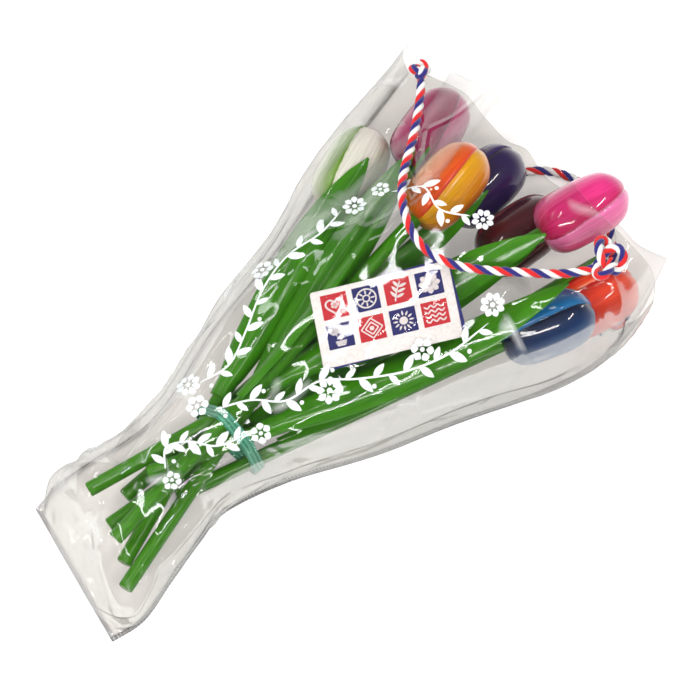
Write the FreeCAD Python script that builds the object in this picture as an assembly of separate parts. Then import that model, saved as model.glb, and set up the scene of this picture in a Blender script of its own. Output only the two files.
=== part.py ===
import FreeCAD, Part
import math
import os

from FreeCAD import Vector

# Eight lacquered wooden tulips, tied with a band, lie in a clear film bag with two cord handles.
# +X runs along the bag from its closed end to its mouth and +Z is up. The bag's back sheet lies
# on the surface at Z = 0, and the origin is at the middle of the sheet's own box.

os.makedirs("parts", exist_ok=True)

# Tulips: a turned head on a dowel, with one leaf glued to the dowel.
tulip_length = 323.0
head_length = 50.0
head_radius = 17.0
petal_step = 0.9
petal_count = 3
stem_radius = 4.0
stem_fit = 0.05
socket_depth = 16.0
leaf_thickness = 1.4
leaf_fit = 0.15
leaf_length = 230.0
leaf_half_width = 12.5

# Bag: two film sheets welded along their sides and bottom.
bag_length = 357.0
side_room = 13.5
top_room = 8.5
film_thickness = 0.4
seam_width = 3.0

# Band round the stems.
band_place_share = -0.353
band_width = 6.8
band_thickness = 1.0
band_gap = 0.5

# Cards between the leaves and the front sheet.
card_length = 73.0
card_width = 42.5
card_thickness = 0.5
card_corner = 1.5
card_gap = 0.15
card_turn = -35.0
card_extra_turn = 1.5
card_rise = 11.0
card_set_back = 52.2
card_side = -28.1
card_above = 13.6

# Handles: twisted cord, knotted at both ends.
cord_radius = 2.5
cord_room = 1.1
small_knot_radius = 3.2
loose_knot_radius = 7.0

# The film stands clear of the outermost heads, whose places are given below in head radii.
outer_head_share = 5.0
top_head_share = 4.0

bag_half_length = bag_length / 2
rest_height = film_thickness + 2 * cord_radius + cord_room
bag_half_width = outer_head_share * head_radius + side_room
bag_height = rest_height + top_head_share * head_radius + top_room
band_place = band_place_share * bag_half_length

# For each tulip: where its stem passes the band in stem radii (Y, Z), where the middle of its head
# lies (X in half bag lengths, Y and Z in head radii), its length as a share of tulip_length, the
# turn of its petals, and its leaf: start past the band and length as shares of leaf_length, roll
# and twist round the stem in half turns, lift of the tip in stem radii, and width share.
tulips = {
    "white": {
        "slot_shares": (5.83, 4.45),
        "head_shares": (0.491, 4.05, 1.07),
        "length_share": 0.84,
        "petal_turn_share": 0.1,
        "leaf_shares": (0.049, 0.647, 0.0, -0.137, 5.35, 1.01),
    },
    "burgundy": {
        "slot_shares": (2.13, 4.88),
        "head_shares": (0.746, 3.16, 1.30),
        "length_share": 1.0,
        "petal_turn_share": 0.3,
        "leaf_shares": (0.085, 0.685, 0.0, -0.05, 6.3, 0.98),
    },
    "yellow": {
        "slot_shares": (2.35, 9.43),
        "head_shares": (0.593, 0.98, 2.93),
        "length_share": 0.858,
        "petal_turn_share": 0.25,
        "leaf_shares": (0.06, 0.719, 0.284, 0.187, 5.1, 0.78),
    },
    "purple": {
        "slot_shares": (5.80, 2.28),
        "head_shares": (0.733, 0.77, 1.06),
        "length_share": 0.861,
        "petal_turn_share": 0.0,
        "leaf_shares": (0.253, 0.57, -0.32, 0.165, 5.4, 0.61),
    },
    "maroon": {
        "slot_shares": (2.08, 2.53),
        "head_shares": (0.696, -1.27, 1.05),
        "length_share": 0.901,
        "petal_turn_share": 0.2,
        "leaf_shares": (0.065, 0.763, -0.078, -0.122, 6.55, 1.01),
    },
    "pink": {
        "slot_shares": (4.28, 6.90),
        "head_shares": (0.812, -2.54, 2.89),
        "length_share": 0.985,
        "petal_turn_share": 0.45,
        "leaf_shares": (0.139, 0.70, 0.075, -0.2, 4.9, 1.0),
    },
    "blue": {
        "slot_shares": (-0.13, 7.40),
        "head_shares": (0.486, -4.31, 2.63),
        "length_share": 0.752,
        "petal_turn_share": 0.5,
        "leaf_shares": (0.058, 0.743, -0.057, 0.172, 6.2, 1.0),
    },
    "red": {
        "slot_shares": (-2.08, 2.88),
        "head_shares": (0.686, -4.39, 1.08),
        "length_share": 0.820,
        "petal_turn_share": 0.6,
        "leaf_shares": (0.073, 0.84, 0.065, 0.237, 5.3, 0.8),
    },
}

# A head's outline, as shares of its length and radius, from its base to its closed top.
head_outline_shares = [
    (0.0, 0.42), (0.04, 0.66), (0.13, 0.89), (0.33, 1.0), (0.65, 0.98), (0.86, 0.81), (0.96, 0.48),
]

# One edge of a petal, from its heel to its point: along the head, and out from its middle line as
# a share of head_radius.
petal_edge_shares = [(0.0, 0.47), (0.45, 0.94), (0.8, 0.62), (1.0, 0.0)]

# A leaf from its heel to its tip: place along it, width, and the radius of its curl as a share
# of leaf_half_width. The heel's own curl follows the stem.
leaf_place_shares = [0.0, 0.1, 0.25, 0.45, 0.65, 0.8, 0.92, 1.0]
leaf_width_shares = [0.46, 0.6, 0.85, 1.0, 0.95, 0.72, 0.4, 0.1]
leaf_curl_shares = [0.0, 0.56, 0.92, 1.16, 1.30, 1.36, 1.41, 1.44]
leaf_lift_power = 1.4

# The bag's right and left edges, station by station from the closed end to the mouth, as shares
# of bag_half_length and bag_half_width, and the front sheet's height there as a share.
bag_edge_shares = [
    ((-1.0, -0.252), (-0.884, 0.561), 0.0),
    ((-0.891, -0.287), (-0.775, 0.573), 0.44),
    ((-0.749, -0.232), (-0.644, 0.542), 0.47),
    ((-0.611, -0.182), (-0.564, 0.505), 0.51),
    ((-0.499, -0.160), (-0.467, 0.489), 0.54),
    ((-0.297, -0.279), (-0.347, 0.523), 0.60),
    ((-0.076, -0.486), (-0.123, 0.640), 0.73),
    ((0.185, -0.685), (0.140, 0.716), 0.84),
    ((0.429, -0.887), (0.381, 0.822), 0.935),
    ((0.616, -0.980), (0.594, 0.899), 0.965),
    ((0.784, -0.944), (0.896, 0.990), 1.0),
]

# The back sheet runs on past the front one and ends in a wavy edge, from right to left.
mouth_edge_shares = [
    (1.0, -0.812),
    (0.972, -0.65),
    (0.979, -0.485),
    (0.958, -0.25),
    (0.937, -0.01),
    (0.963, 0.18),
    (0.943, 0.30),
    (0.952, 0.49),
    (0.968, 0.67),
    (0.939, 0.86),
    (0.912, 1.0),
]

# The front sheet's section: place across the bag from right to left, and height.
round_arch_shares = [
    (-0.01, 0.30), (-0.02, 0.60), (0.03, 0.88), (0.12, 1.0), (0.6, 1.0),
    (0.68, 0.98), (0.8, 0.9), (0.9, 0.7), (0.98, 0.45), (1.01, 0.25),
]
low_arch_shares = [
    (-0.02, 0.30), (-0.03, 0.60), (0.01, 0.90), (0.09, 1.0), (0.6, 1.0),
    (0.68, 0.87), (0.8, 0.70), (0.92, 0.63), (0.985, 0.50), (1.024, 0.28),
]
flat_arch_shares = [
    (0.08, 0.0), (0.11, 0.0), (0.15, 0.0), (0.2, 0.0), (0.6, 0.0),
    (0.68, 0.0), (0.8, 0.0), (0.85, 0.0), (0.89, 0.0), (0.92, 0.0),
]
first_low_station = 8

# An arc of a cord takes this share of the shorter of its two runs.
arc_trim_share = 0.45

# The handles' routes, point by point from their left knots to their right ones, and their knots'
# middles and the directions that the knots lie square to.
front_cord_route = [
    (139.5, 68.5, 58.4),
    (131.0, 61.0, 60.0),
    (119.5, 52.5, 62.3),
    (107.5, 44.0, 65.7),
    (95.5, 37.0, 68.6),
    (85.0, 29.5, 73.2),
    (75.5, 20.5, 79.0),
    (67.5, 9.5, 82.4),
    (62.8, -4.0, 81.4),
    (64.0, -17.5, 81.2),
    (69.5, -29.5, 81.9),
    (78.5, -41.5, 82.7),
    (88.5, -53.0, 83.4),
    (98.5, -65.0, 84.1),
    (107.0, -72.5, 84.8),
    (115.0, -77.5, 85.4),
]
back_cord_route = [
    (138.5, 36.0, 3.0),
    (143.5, 27.0, 3.0),
    (150.5, 16.5, 3.0),
    (159.0, 9.5, 3.0),
    (168.0, 3.0, 3.0),
    (175.0, -8.0, 3.0),
    (178.5, -22.0, 3.0),
    (175.0, -37.0, 3.0),
    (166.0, -51.0, 3.0),
    (154.5, -62.5, 3.0),
    (144.0, -73.5, 3.0),
    (135.0, -81.0, 3.0),
]
front_left_knot = ((142.5, 72.0, 57.6), (0, 0.27, 0.96))
front_right_knot = ((121.5, -79.5, 85.6), (0, 0, 1))
back_left_knot = ((137.0, 38.5, 3.0), (0, 0, 1))
back_right_knot = ((132.5, -82.5, 3.0), (0, 0, 1))


def write(name, shape):
    """Writes one sub-part and prints its volume."""
    if not shape.isValid():
        print("not valid:", name)
    shape.exportStep("parts/" + name + ".step")
    print(name, round(shape.Volume, 1), "mm3")


def between(low, high, share):
    """The point at this share of the way from low to high."""
    return low + (high - low) * share


def stem_line(tulip):
    """A tulip's foot, the base of its head, and the axis from one to the other."""
    across, above = tulip["slot_shares"]
    slot = Vector(band_place, across * stem_radius, film_thickness + above * stem_radius)
    along, side, height = tulip["head_shares"]
    middle = Vector(along * bag_half_length, side * head_radius, rest_height + height * head_radius)
    axis = (middle - slot).normalize()
    base = middle - axis * (head_length / 2)
    foot = middle + axis * (head_length / 2 - tulip["length_share"] * tulip_length)
    return foot, base, axis


def placed(shape, origin, axis, turn):
    """Puts a shape made along +X at origin along axis, turned about it by this share of a half turn."""
    up = Vector(0, 0, 1)
    above = (up - axis * up.dot(axis)).normalize()
    left = above.cross(axis)
    copy = shape.copy()
    copy.rotate(Vector(0, 0, 0), Vector(1, 0, 0), -180 * turn)
    frame = FreeCAD.Rotation(axis, left, above, "XYZ")
    copy.Placement = FreeCAD.Placement(origin, frame).multiply(copy.Placement)
    return copy


def turned(shrink):
    """A head's turned body along +X, with its radius smaller by shrink."""
    points = []
    for along, out in head_outline_shares:
        points.append(Vector(along * head_length, out * head_radius - shrink, 0))
    top = Vector(head_length - shrink, 0, 0)
    side = Part.BSplineCurve()
    side.interpolate(points + [top])
    edges = [
        side.toShape(),
        Part.LineSegment(top, Vector(0, 0, 0)).toShape(),
        Part.LineSegment(Vector(0, 0, 0), points[0]).toShape(),
    ]
    return Part.Face(Part.Wire(edges)).revolve(Vector(0, 0, 0), Vector(1, 0, 0), 360)


def petal_block():
    """A pointed petal outline on the head's +Z side, cut outwards from its axis."""
    right = [Vector(along * head_length, -out * head_radius, 0) for along, out in petal_edge_shares]
    left = [Vector(point.x, -point.y, 0) for point in right[::-1]]
    edges = [Part.LineSegment(left[-1], right[0]).toShape()]
    for points in (right, left):
        curve = Part.BSplineCurve()
        curve.interpolate(points)
        edges.append(curve.toShape())
    return Part.Face(Part.Wire(edges)).extrude(Vector(0, 0, 2 * head_radius))


def head_shape():
    """A head along +X: a bud with three raised petals, and a blind hole for the stem."""
    bud = turned(petal_step)
    skin = turned(0)
    head = bud
    for petal in range(petal_count):
        block = petal_block()
        block.rotate(Vector(0, 0, 0), Vector(1, 0, 0), 360 * petal / petal_count)
        head = head.fuse(skin.common(block))
    mouth = Vector(-socket_depth, 0, 0)
    hole = Part.makeCylinder(stem_radius + stem_fit, 2 * socket_depth, mouth, Vector(1, 0, 0))
    return head.cut(hole).removeSplitter()


def stem_shape(length):
    """A dowel along +X that ends at the bottom of the head's hole."""
    return Part.makeCylinder(stem_radius, length + socket_depth, Vector(0, 0, 0), Vector(1, 0, 0))


def band_reach(foot, axis):
    """How far up a stem, from its foot, the band lies."""
    return (band_place - foot.x) / axis.x


def leaf_section(start, length, lift, width, roll, twist, station):
    """One curved section of a leaf, across its length."""
    along = leaf_place_shares[station]
    heel_curl = stem_radius + leaf_fit + leaf_thickness / 2
    curl = max(heel_curl, leaf_curl_shares[station] * leaf_half_width)
    apex = between(heel_curl, lift, along**leaf_lift_power)
    half = leaf_width_shares[station] * width
    turn = math.pi * (roll + twist * along)

    def corner(radius, share):
        angle = share * half / curl
        side = radius * math.sin(angle)
        height = apex - curl + radius * math.cos(angle)
        return Vector(
            start + length * along,
            side * math.cos(turn) + height * math.sin(turn),
            height * math.cos(turn) - side * math.sin(turn),
        )

    outer = [corner(curl + leaf_thickness / 2, share) for share in (-1, 0, 1)]
    inner = [corner(curl - leaf_thickness / 2, share) for share in (1, 0, -1)]
    edges = [
        Part.Arc(*outer).toShape(),
        Part.LineSegment(outer[2], inner[0]).toShape(),
        Part.Arc(*inner).toShape(),
        Part.LineSegment(inner[2], outer[0]).toShape(),
    ]
    return Part.Wire(edges)


def leaf_shape(shares, band_at):
    """A leaf along a stem on +X, from its curled heel just past the band to its rounded tip."""
    start, length, roll, twist, lift, width = shares
    sections = []
    for station in range(len(leaf_place_shares)):
        sections.append(
            leaf_section(
                band_at + start * leaf_length,
                length * leaf_length,
                lift * stem_radius,
                width * leaf_half_width,
                roll,
                twist,
                station,
            )
        )
    return Part.makeLoft(sections, True, False)


def band_shape():
    """The band, stretched round the outermost stems."""
    centres = []
    for tulip in tulips.values():
        foot, base, axis = stem_line(tulip)
        for face in (-band_width / 2, band_width / 2):
            at = foot + axis * ((band_place + face - foot.x) / axis.x)
            centres.append((at.y, at.z))
    ring = hull(centres)
    wire = Part.makePolygon([Vector(band_place - band_width / 2, y, z) for y, z in ring + ring[:1]])
    inside = stem_radius + band_gap
    outer = Part.Face(wire.makeOffset2D(inside + band_thickness))
    inner = Part.Face(wire.makeOffset2D(inside))
    width = Vector(band_width, 0, 0)
    return outer.extrude(width).cut(inner.extrude(width))


def hull(points):
    """The corners of the tightest loop round these points, in order."""
    points = sorted(set(points))

    def chain(row):
        kept = []
        for point in row:
            while len(kept) > 1 and turn_of(kept[-2], kept[-1], point) <= 0:
                kept.pop()
            kept.append(point)
        return kept[:-1]

    return chain(points) + chain(points[::-1])


def turn_of(first, second, third):
    """Positive when the way from first by second to third turns left."""
    into = (second[0] - first[0], second[1] - first[1])
    out = (third[0] - first[0], third[1] - first[1])
    return into[0] * out[1] - into[1] * out[0]


def card_shape(drop, turn):
    """A card with rounded corners, lying on the yellow tulip's leaf and rising towards the mouth."""
    sheet = Part.makeBox(card_length, card_width, card_thickness)
    upright = [edge for edge in sheet.Edges if abs(edge.BoundBox.ZLength - card_thickness) < card_gap]
    sheet = sheet.makeFillet(card_corner, upright)
    sheet.translate(Vector(-card_length / 2, -card_width / 2, 0))
    sheet.rotate(Vector(0, 0, 0), Vector(0, 0, 1), turn)
    sheet.rotate(Vector(0, 0, 0), Vector(0, 1, 0), -card_rise)
    foot, base, axis = stem_line(tulips["yellow"])
    sheet.translate(base - axis * card_set_back + Vector(0, card_side, card_above - drop))
    return sheet


def edge_points(side):
    """The bag's right (0) or left (1) edge, from the closed end to the front sheet's mouth."""
    places = [row[side] for row in bag_edge_shares]
    return [Vector(x * bag_half_length, y * bag_half_width, 0) for x, y in places]


def back_sheet():
    """The flat sheet that the bag lies on."""
    mouth = [Vector(x * bag_half_length, y * bag_half_width, 0) for x, y in mouth_edge_shares]
    outline = edge_points(0) + mouth + edge_points(1)[::-1]
    return Part.Face(Part.makePolygon(outline + outline[:1])).extrude(Vector(0, 0, film_thickness))


def offset_line(points):
    """The same broken line, one film thickness further out."""
    moved = []
    for i, here in enumerate(points):
        before = points[max(i - 1, 0)]
        after = points[min(i + 1, len(points) - 1)]
        normals = []
        for low, high in ((before, here), (here, after)):
            step = (high[0] - low[0], high[1] - low[1])
            size = math.hypot(*step)
            if size > 0:
                normals.append((-step[1] / size, step[0] / size))
        mean = (sum(n[0] for n in normals) / len(normals), sum(n[1] for n in normals) / len(normals))
        size = mean[0] ** 2 + mean[1] ** 2
        moved.append((here[0] + film_thickness * mean[0] / size, here[1] + film_thickness * mean[1] / size))
    return moved


def front_section(right, left, height, arch):
    """The front sheet's section in the upright plane through both edges of the bag."""
    across = left - right
    width = across.Length
    foot = seam_width
    line = [(0, 0), (foot, 0)] + [(a * width, h * height) for a, h in arch] + [(width - foot, 0), (width, 0)]
    loop = line + offset_line(line)[::-1]
    lift = Vector(0, 0, film_thickness)
    corners = [right + across * (a / width) + lift + Vector(0, 0, h) for a, h in loop]
    return Part.makePolygon(corners + corners[:1])


def front_sheet():
    """The front sheet: flat at its seams, and standing over the tulips like a low tunnel."""
    rights, lefts = edge_points(0), edge_points(1)
    sections = []
    for station, (right, left) in enumerate(zip(rights, lefts)):
        height = bag_edge_shares[station][2] * bag_height
        arch = low_arch_shares if station >= first_low_station else round_arch_shares
        if station == 0:
            arch = flat_arch_shares
        sections.append(front_section(right, left, height, arch))
        if station == 0:
            steps = [(rights[1] - right).normalize() * seam_width, (lefts[1] - left).normalize() * seam_width]
            sections.append(front_section(right + steps[0], left + steps[1], height, arch))
    return Part.makeLoft(sections, True, True)


def cord_tube(name, points):
    """A cord as straight runs joined by tangent arcs, each as large as its runs allow."""
    points = [Vector(*point) for point in points]
    edges = []
    radii = []
    start = points[0]
    for before, here, after in zip(points, points[1:], points[2:]):
        into = (here - before).normalize()
        out = (after - here).normalize()
        trim = arc_trim_share * min((here - before).Length, (after - here).Length)
        half = into.getAngle(out) / 2
        radius = trim / math.tan(half)
        inward = (out - into).normalize()
        middle = here + inward * (radius / math.cos(half) - radius)
        first, last = here - into * trim, here + out * trim
        edges.append(Part.LineSegment(start, first).toShape())
        edges.append(Part.Arc(first, middle, last).toShape())
        radii.append(radius)
        start = last
    edges.append(Part.LineSegment(start, points[-1]).toShape())
    path = Part.Wire(edges)
    ring = Part.Wire(Part.Circle(points[0], points[1] - points[0], cord_radius).toShape())
    tube = path.makePipeShell([ring], True, False)
    expected = math.pi * cord_radius**2 * path.Length
    print(name, "length", round(path.Length, 1), "radii", [round(radius, 1) for radius in radii])
    print(name, "volume over section times length", round(tube.Volume / expected, 4))
    return tube


def knot_ring(place, ring_radius):
    """A knot drawn up into one flat turn of the cord."""
    middle, square = place
    return Part.makeTorus(ring_radius, cord_radius, Vector(*middle), Vector(*square))


head = head_shape()
for name, tulip in tulips.items():
    foot, base, axis = stem_line(tulip)
    write(name + "_head", placed(head, base, axis, tulip["petal_turn_share"]))
    write(name + "_stem", placed(stem_shape((base - foot).Length), foot, axis, 0))
    leaf = leaf_shape(tulip["leaf_shares"], band_reach(foot, axis))
    write(name + "_leaf", placed(leaf, foot, axis, 0))

write("stem_band", band_shape())
write("picture_card", card_shape(0, card_turn))
write("backing_card", card_shape(card_thickness + card_gap, card_turn + card_extra_turn))
write("bag_back_sheet", back_sheet())
write("bag_front_sheet", front_sheet())
write("front_handle_cord", cord_tube("front_handle_cord", front_cord_route))
write("back_handle_cord", cord_tube("back_handle_cord", back_cord_route))
write("front_left_knot", knot_ring(front_left_knot, small_knot_radius))
write("front_right_knot", knot_ring(front_right_knot, loose_knot_radius))
write("back_left_knot", knot_ring(back_left_knot, small_knot_radius))
write("back_right_knot", knot_ring(back_right_knot, small_knot_radius))
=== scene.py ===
import math

import bmesh
import bpy
from mathutils import Matrix, Vector, noise
from mathutils.bvhtree import BVHTree


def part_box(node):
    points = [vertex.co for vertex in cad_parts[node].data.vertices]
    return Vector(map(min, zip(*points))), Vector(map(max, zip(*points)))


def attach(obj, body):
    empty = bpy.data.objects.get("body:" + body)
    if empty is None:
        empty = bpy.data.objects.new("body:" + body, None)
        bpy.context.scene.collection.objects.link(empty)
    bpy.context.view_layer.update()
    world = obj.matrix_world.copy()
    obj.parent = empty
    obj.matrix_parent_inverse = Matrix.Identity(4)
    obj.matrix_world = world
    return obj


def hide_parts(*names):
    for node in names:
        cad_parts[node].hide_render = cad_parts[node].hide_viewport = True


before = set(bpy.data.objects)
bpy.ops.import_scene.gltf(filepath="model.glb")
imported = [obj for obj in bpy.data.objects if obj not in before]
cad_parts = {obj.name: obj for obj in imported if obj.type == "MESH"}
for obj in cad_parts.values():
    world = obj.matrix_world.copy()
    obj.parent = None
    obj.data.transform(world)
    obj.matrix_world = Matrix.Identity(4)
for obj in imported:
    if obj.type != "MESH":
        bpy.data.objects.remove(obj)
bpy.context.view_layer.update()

# Eight lacquered wooden tulips in a clear film bag. +X runs from the bag's closed end to its mouth.
mm = 0.001
weldReach = 0.005 * mm  # points nearer than this are one point
scene = bpy.context.scene


# Camera

cameraView = {"target": (0.0205, 0.003, 0.0), "azimuth": -45, "elevation": 68, "distance": 1.5, "lens": 145.5}


def makeCamera():
    azimuth = math.radians(cameraView["azimuth"])
    elevation = math.radians(cameraView["elevation"])
    back = Vector((
        math.sin(azimuth) * math.cos(elevation),
        -math.cos(azimuth) * math.cos(elevation),
        math.sin(elevation),
    ))
    data = bpy.data.cameras.new("camera")
    data.lens = cameraView["lens"]
    camera = bpy.data.objects.new("camera", data)
    camera.location = Vector(cameraView["target"]) + back * cameraView["distance"]
    camera.rotation_euler = back.to_track_quat("Z", "Y").to_euler()
    scene.collection.objects.link(camera)
    scene.camera = camera


makeCamera()
print("camera placed")


# Helpers for meshes

def warpedGrid(bm, uSteps, vSteps, place, material=0):
    # a grid whose points are placed by u and v from 0 to 1, which its UV map keeps
    if not bm.loops.layers.uv:
        bm.loops.layers.uv.new("UVMap")
    made = bmesh.ops.create_grid(bm, x_segments=uSteps, y_segments=vSteps, size=0.5, calc_uvs=True)
    for vert in made["verts"]:
        vert.co = place(vert.co.x + 0.5, vert.co.y + 0.5)
    faces = {face for vert in made["verts"] for face in vert.link_faces}
    for face in faces:
        face.material_index = material
    return made["verts"]


def addObject(name, bm, materials):
    mesh = bpy.data.meshes.new(name)
    bm.to_mesh(mesh)
    bm.free()
    for material in materials:
        mesh.materials.append(material)
    made = bpy.data.objects.new(name, mesh)
    scene.collection.objects.link(made)
    return made


def makePiece(name, bm, materials, body, closed=True):
    bmesh.ops.remove_doubles(bm, verts=bm.verts, dist=weldReach)
    if closed:
        bmesh.ops.recalc_face_normals(bm, faces=bm.faces)
    for face in bm.faces:
        face.smooth = True
    piece = addObject(name, bm, materials)
    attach(piece, body)
    return piece


def addWall(piece, thickness, offset=0, rimMaterial=0):
    wall = piece.modifiers.new("thickness", "SOLIDIFY")
    wall.thickness = thickness
    wall.offset = offset
    wall.material_offset_rim = rimMaterial


def roundEdges(piece, width, segments):
    edges = piece.modifiers.new("rounded edges", "BEVEL")
    edges.width = width
    edges.segments = segments
    edges.limit_method = "ANGLE"


def mapUv(bm, change):
    uv = bm.loops.layers.uv.active
    for face in bm.faces:
        for loop in face.loops:
            loop[uv].uv = change(*loop[uv].uv)


def through(points, place):
    # a smooth line through evenly spaced points or numbers, at a place counted in points
    last = len(points) - 1
    low = max(0, min(int(place), last - 1))
    share = place - low
    a, b, c, d = points[max(low - 1, 0)], points[low], points[low + 1], points[min(low + 2, last)]
    bend = (a * 2 - b * 5 + c * 4 - d) * share**2 + (b * 3 - a - c * 3 + d) * share**3
    return (b * 2 + (c - a) * share + bend) * 0.5


def ease(low, high, value):
    share = max(0.0, min(1.0, (value - low) / (high - low)))
    return share * share * (3 - 2 * share)


# Helpers for materials

def linear(colour):
    # an sRGB hex colour as linear red, green, blue and alpha
    parts = [int(colour[i:i + 2], 16) / 255 for i in (0, 2, 4)]
    return (*[part / 12.92 if part <= 0.04045 else ((part + 0.055) / 1.055) ** 2.4 for part in parts], 1.0)


def addNode(tree, kind, inputs=None, stops=None, **settings):
    node = tree.nodes.new("ShaderNode" + kind)
    for key, value in settings.items():
        setattr(node, key, value)
    for key, value in (inputs or {}).items():
        if isinstance(value, bpy.types.NodeSocket):
            tree.links.new(value, node.inputs[key])
        else:
            node.inputs[key].default_value = value
    if stops:
        ramp = node.color_ramp.elements
        while len(ramp) < len(stops):
            ramp.new(0.5)
        for element, (position, colour) in zip(ramp, stops):
            element.position = position
            element.color = colour
    return node


def startMaterial(name):
    material = bpy.data.materials.new(name)
    material.use_nodes = True
    material.node_tree.nodes.clear()
    return material, material.node_tree


def perMetre(size):
    # the scale of a pattern on Object coordinates whose features are this many millimetres across
    return 1000 / size


def shaded(colour, share):
    # a hex colour made darker, as linear values
    return tuple(share * part for part in linear(colour)[:3]) + (1.0,)


def maths(tree, operation, *values):
    return addNode(tree, "Math", dict(enumerate(values)), operation=operation).outputs[0]


def remap(tree, value, fromMin, fromMax, toMin=0.0, toMax=1.0):
    return addNode(tree, "MapRange", {
        "Value": value, "From Min": fromMin, "From Max": fromMax, "To Min": toMin, "To Max": toMax,
    }).outputs[0]


def clouds(tree, place, scale, detail, roughness=0.5):
    return addNode(tree, "TexNoise", {
        "Vector": place, "Scale": scale, "Detail": detail, "Roughness": roughness,
    }).outputs["Fac"]


def stretched(tree, place, along, across, turn=0.0):
    return addNode(tree, "Mapping", {
        "Vector": place, "Scale": (along, across, 1.0), "Rotation": (0, 0, turn),
    }).outputs["Vector"]


def toned(tree, share, *stops):
    # a ramp whose colours are hex or already linear
    stops = [(at, linear(colour) if isinstance(colour, str) else colour) for at, colour in stops]
    return addNode(tree, "ValToRGB", {"Fac": share}, stops=stops).outputs["Color"]


def bumped(tree, height, strength, distance):
    return addNode(tree, "Bump", {
        "Height": height, "Strength": strength, "Distance": distance,
    }).outputs["Normal"]


def finished(material, shader):
    addNode(material.node_tree, "OutputMaterial", {"Surface": shader.outputs[0]})
    return material


def principled(material, inputs):
    return finished(material, addNode(material.node_tree, "BsdfPrincipled", inputs))


def onObject(tree):
    return addNode(tree, "TexCoord").outputs["Object"]


def onUv(tree):
    return addNode(tree, "UVMap").outputs["UV"]


# Cords: three cotton strands laid into a rope, red, white and navy

cordPlan = {
    "diameter": 5.0 * mm,
    "strandRadius": 1.32 * mm,
    "strandOffset": 1.2 * mm,
    "lay": 14.5 * mm,
    "ringStep": 0.75 * mm,
    "sides": 10,
    "openOut": 1.1,
    "thinOut": 0.4,
    "capLength": 0.8 * mm,
    "capShare": 0.7,
    "knotSteps": 180,
    "tailSteps": 12,
    "wander": 0.09,
    "strands": {"red cotton": "e0161c", "white cotton": "f6f5f2", "navy cotton": "231c78"},
}

frontRoute = [
    (139.5, 68.5, 58.4), (131, 61, 60), (119.5, 52.5, 62.3), (107.5, 44, 65.7),
    (95.5, 37, 68.6), (85, 29.5, 73.2), (75.5, 20.5, 79), (67.5, 9.5, 82.4),
    (62.8, -4, 81.4), (64, -17.5, 81.2), (69.5, -29.5, 81.9), (78.5, -41.5, 82.7),
    (88.5, -53, 83.4), (98.5, -65, 84.1), (107, -72.5, 84.8), (115, -77.5, 85.4),
]
backRoute = [
    (138.5, 36, 3), (143.5, 27, 3), (150.5, 16.5, 3), (159, 9.5, 3),
    (168, 3, 3), (175, -8, 3), (178.5, -22, 3), (175, -37, 3),
    (166, -51, 3), (154.5, -62.5, 3), (144, -73.5, 3), (135, -81, 3),
]

# Each knot is an overhand one: its middle, the way it faces, its turn in degrees, its size across,
# its height, the share of the closed figure that the cord runs through, and the frayed length.
knotPlan = {
    "front_left_knot": {
        "middle": (143, 73, 58.6), "facing": (0, 0.27, 0.96), "turn": 200,
        "size": (1.2, 1.3), "height": 1.5, "ends": (0.5, 5.8), "frayed": 3,
    },
    "front_right_knot": {
        "middle": (122, -78.5, 87.6), "facing": (0.1, 0.1, 1), "turn": 38,
        "size": (4.1, 2.5), "height": 2.4, "ends": (0.25, 6.2), "frayed": 5,
    },
    "back_left_knot": {
        "middle": (136.5, 39.5, 4.6), "facing": (0, 0, 1), "turn": 120,
        "size": (1.7, 1.5), "height": 1.6, "ends": (0.4, 5.9), "frayed": 4,
    },
    "back_right_knot": {
        "middle": (131.5, -84, 5), "facing": (0, 0, 1), "turn": 320,
        "size": (2.4, 1.9), "height": 1.8, "ends": (0.3, 6), "frayed": 7,
        "tail": [(128, -80.5, 5), (123.5, -81.5, 3.6), (119, -84, 3)],
    },
}


def cottonStrand(name, colour):
    # spun cotton: dull, with fine fibres that lie slantwise along each strand
    material, tree = startMaterial(name)
    fibre = clouds(tree, stretched(tree, onUv(tree), 1.0, 6.0, 0.6), 9.0, 4.0, 0.7)
    return principled(material, {
        "Base Color": toned(tree, fibre, (0.3, shaded(colour, 0.7)), (0.62, colour)),
        "Roughness": 0.85,
        "Sheen Weight": 0.35,
        "Sheen Roughness": 0.5,
        "Normal": bumped(tree, fibre, 0.6, 0.25 * mm),
    })


strandMaterials = [cottonStrand(name, colour) for name, colour in cordPlan["strands"].items()]


def routeLine(name, route):
    curve = bpy.data.curves.new(name, "CURVE")
    curve.dimensions = "3D"
    spline = curve.splines.new("NURBS")
    spline.points.add(len(route) - 1)
    for point, place in zip(spline.points, route):
        point.co = (*(Vector(place) * mm), 1.0)
    spline.order_u = 3
    spline.use_endpoint_u = True
    spline.resolution_u = 24
    holder = bpy.data.objects.new(name, curve)
    mesh = bpy.data.meshes.new_from_object(holder)
    line = [vert.co.copy() for vert in mesh.vertices]
    bpy.data.objects.remove(holder)
    return line


def evenly(line, step):
    # the same line with its points a steady step apart
    lengths = [0.0]
    for before, after in zip(line, line[1:]):
        lengths.append(lengths[-1] + (after - before).length)
    count = max(2, round(lengths[-1] / step))
    points = []
    index = 0
    for k in range(count + 1):
        want = lengths[-1] * k / count
        while index < len(line) - 2 and lengths[index + 1] < want:
            index += 1
        span = lengths[index + 1] - lengths[index]
        points.append(line[index].lerp(line[index + 1], (want - lengths[index]) / span if span else 0))
    return points, lengths[-1]


def carriedFrames(points):
    # side and up directions that turn with the line and don't twist about it
    last = len(points) - 1
    ahead = [(points[min(i + 1, last)] - points[max(i - 1, 0)]).normalized() for i in range(last + 1)]
    side = ahead[0].cross(Vector((0, 0, 1))).normalized()
    frames = []
    for way in ahead:
        side = (side - way * side.dot(way)).normalized()
        frames.append((side, way.cross(side), way))
    return frames


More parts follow.
